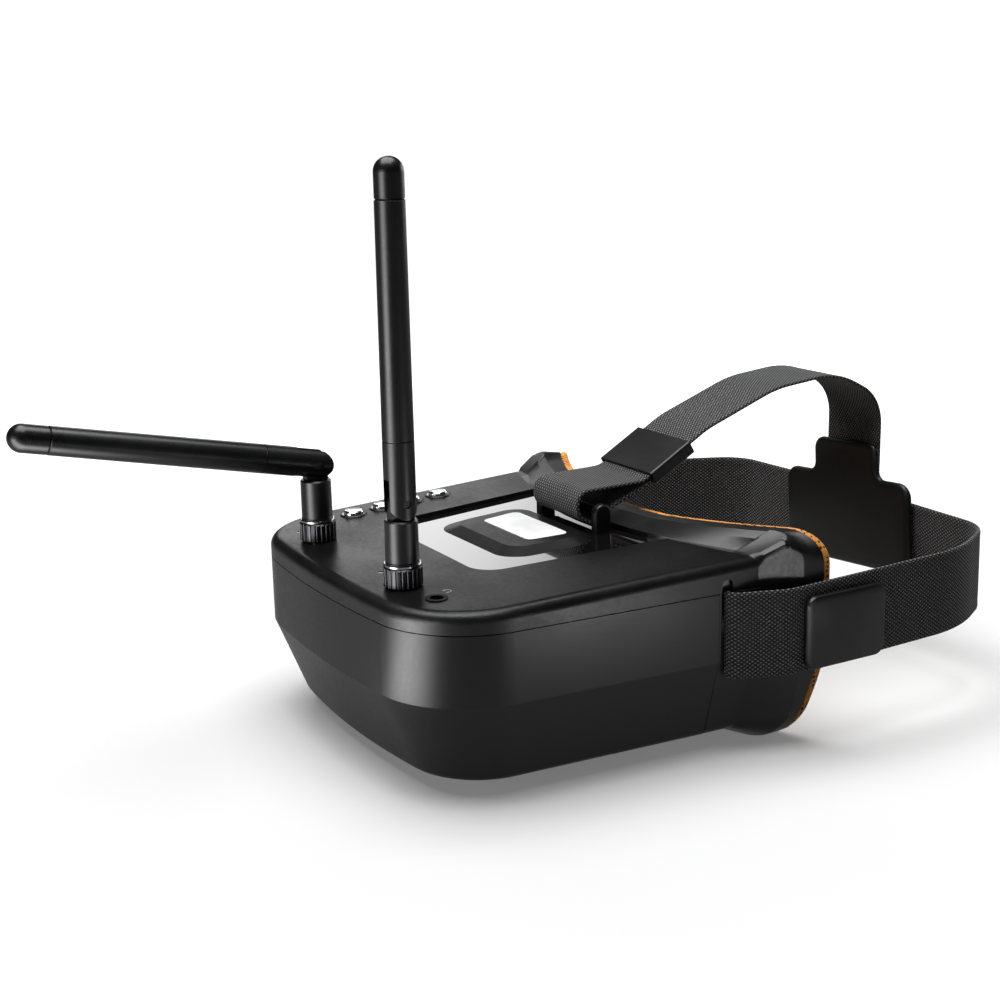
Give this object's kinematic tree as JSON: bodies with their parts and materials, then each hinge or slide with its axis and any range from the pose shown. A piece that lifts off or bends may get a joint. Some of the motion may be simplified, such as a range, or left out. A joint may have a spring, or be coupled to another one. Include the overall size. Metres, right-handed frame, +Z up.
{
  "type": "fpv goggles",
  "caption": "Box-type video goggles with folding antennas, top buttons, foam-lined face shroud and a three-way webbing head harness.",
  "frame": {"origin": "middle of the object's bounding box at its lowest point, on the surface it stands on", "axes": "+Z up, +Y from the front cover towards the wearer's face and the back of the head harness, +X to the wearer's left"},
  "size_m": [0.1458, 0.263, 0.1606],
  "materials": {
    "satin_black": "satin moulded black",
    "orange_foam": "orange perforated foam",
    "label_white": "white print under gloss",
    "button_chrome": "polished, dished",
    "ring_black": "gloss black",
    "webbing": "woven elastic webbing",
    "pad_black": "soft black",
    "hardware_black": "satin black",
    "steel": "plain",
    "board_green": "solder mask",
    "shield_tin": "tin plate",
    "switch_black": "matt",
    "light_clear": "clear",
    "jack_black": "matt",
    "display_glass": "dark panel",
    "inner_black": "matt",
    "lens_clear": "clear acrylic",
    "battery_wrap": "shrink wrap",
    "nut_black_chrome": "black nickel",
    "connector_brass": "plated",
    "antenna_black": "satin black",
    "element_copper": "copper rod"
  },
  "bodies": {
    "housing": {"back_pad": "pad_black", "battery_pack": "battery_wrap", "button_rings": "ring_black", "case_screws": "steel", "charge_port": "shield_tin", "display_frame": "inner_black", "display_panel": "display_glass", "face_foam": "orange_foam", "face_shroud": "satin_black", "head_strap": "webbing", "headphone_jack": "jack_black", "label_plate": "label_white", "left_antenna_connector": "connector_brass", "lens_frame": "inner_black", "light_pipes": "light_clear", "lower_shell": "satin_black", "main_board": "board_green", "receiver_modules": "shield_tin", "right_antenna_connector": "connector_brass", "strap_anchors": "steel", "strap_bracket": "hardware_black", "strap_plates": "hardware_black", "tact_switches": "switch_black", "top_strap": "webbing", "upper_shell": "satin_black", "viewing_lens": "lens_clear"},
    "left_antenna_foot": {"left_antenna_nut": "nut_black_chrome", "left_antenna_base": "antenna_black", "left_antenna_pin": "steel"},
    "left_antenna_mast_body": {"left_antenna_sleeve": "antenna_black", "left_antenna_mast": "antenna_black", "left_antenna_tip": "antenna_black", "left_antenna_element": "element_copper"},
    "right_antenna_foot": {"right_antenna_nut": "nut_black_chrome", "right_antenna_base": "antenna_black", "right_antenna_pin": "steel"},
    "right_antenna_mast_body": {"right_antenna_sleeve": "antenna_black", "right_antenna_mast": "antenna_black", "right_antenna_tip": "antenna_black", "right_antenna_element": "element_copper"},
    "button_1": {"button_cap_1": "button_chrome"},
    "button_2": {"button_cap_2": "button_chrome"},
    "button_3": {"button_cap_3": "button_chrome"},
    "button_4": {"button_cap_4": "button_chrome"},
    "slider": {"top_slider": "hardware_black"}
  },
  "joints": [
    {"name": "left_antenna_swivel", "type": "hinge", "parent": "housing", "child": "left_antenna_foot", "pos_m": [0.0268, -0.04748, 0.05265], "axis": [0, 0, 1], "range_deg": [-60, 180]},
    {"name": "left_antenna_fold", "type": "hinge", "parent": "left_antenna_foot", "child": "left_antenna_mast_body", "pos_m": [0.0268, -0.04748, 0.07485], "axis": [1, 0, 0], "range_deg": [0, 90]},
    {"name": "right_antenna_swivel", "type": "hinge", "parent": "housing", "child": "right_antenna_foot", "pos_m": [-0.0268, -0.04748, 0.05265], "axis": [0, 0, 1], "range_deg": [-180, 60]},
    {"name": "right_antenna_fold", "type": "hinge", "parent": "right_antenna_foot", "child": "right_antenna_mast_body", "pos_m": [-0.0268, -0.04748, 0.07485], "axis": [1, 0, 0], "range_deg": [-78, 12]},
    {"name": "button_1_press", "type": "slide", "parent": "housing", "child": "button_1", "axis": [0, 0, -1], "range_m": [0, 0.0005], "stiffness_N_per_m": 800, "springref_m": -0.0003},
    {"name": "button_2_press", "type": "slide", "parent": "housing", "child": "button_2", "axis": [0, 0, -1], "range_m": [0, 0.0005], "stiffness_N_per_m": 800, "springref_m": -0.0003},
    {"name": "button_3_press", "type": "slide", "parent": "housing", "child": "button_3", "axis": [0, 0, -1], "range_m": [0, 0.0005], "stiffness_N_per_m": 800, "springref_m": -0.0003},
    {"name": "button_4_press", "type": "slide", "parent": "housing", "child": "button_4", "axis": [0, 0, -1], "range_m": [0, 0.0005], "stiffness_N_per_m": 800, "springref_m": -0.0003},
    {"name": "slider_slide", "type": "slide", "parent": "housing", "child": "slider", "axis": [0, 0.8686, 0.4954], "range_m": [-0.0005, 0.003]}
  ]
}
